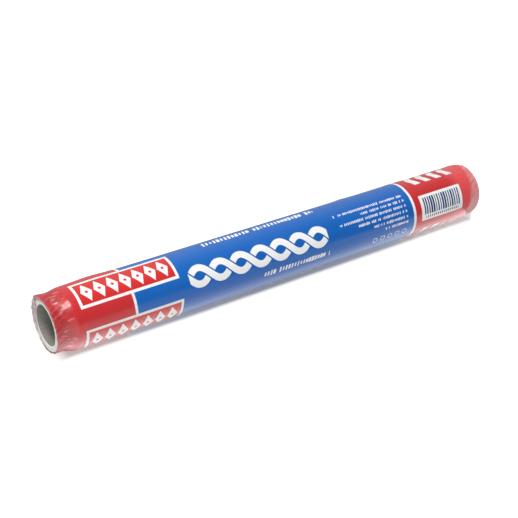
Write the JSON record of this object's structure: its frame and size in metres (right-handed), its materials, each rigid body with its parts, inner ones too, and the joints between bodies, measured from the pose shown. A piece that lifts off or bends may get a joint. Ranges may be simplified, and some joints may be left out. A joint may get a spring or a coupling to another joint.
{
  "type": "aluminium foil roll",
  "caption": "Roll of household aluminium foil wound on a cardboard core, in a printed shrink film sleeve gathered onto both core ends; stands on one end.",
  "frame": {"origin": "centre of the film's fold that the roll stands on, under the core's axis", "axes": "+Z along the roll's axis from the end it stands on to the end whose core is open to view; +Y is the side away from the picture's camera"},
  "size_m": [0.038, 0.0381, 0.3246],
  "materials": {
    "cardboard": "uncoated grey paperboard, spiral wound",
    "foil": "bright rolled foil",
    "printed_film": "glossy printed shrink film"
  },
  "bodies": {
    "root": {"core_tube": "cardboard", "foil_winding": "foil", "film_wrapper": "printed_film"}
  },
  "joints": []
}
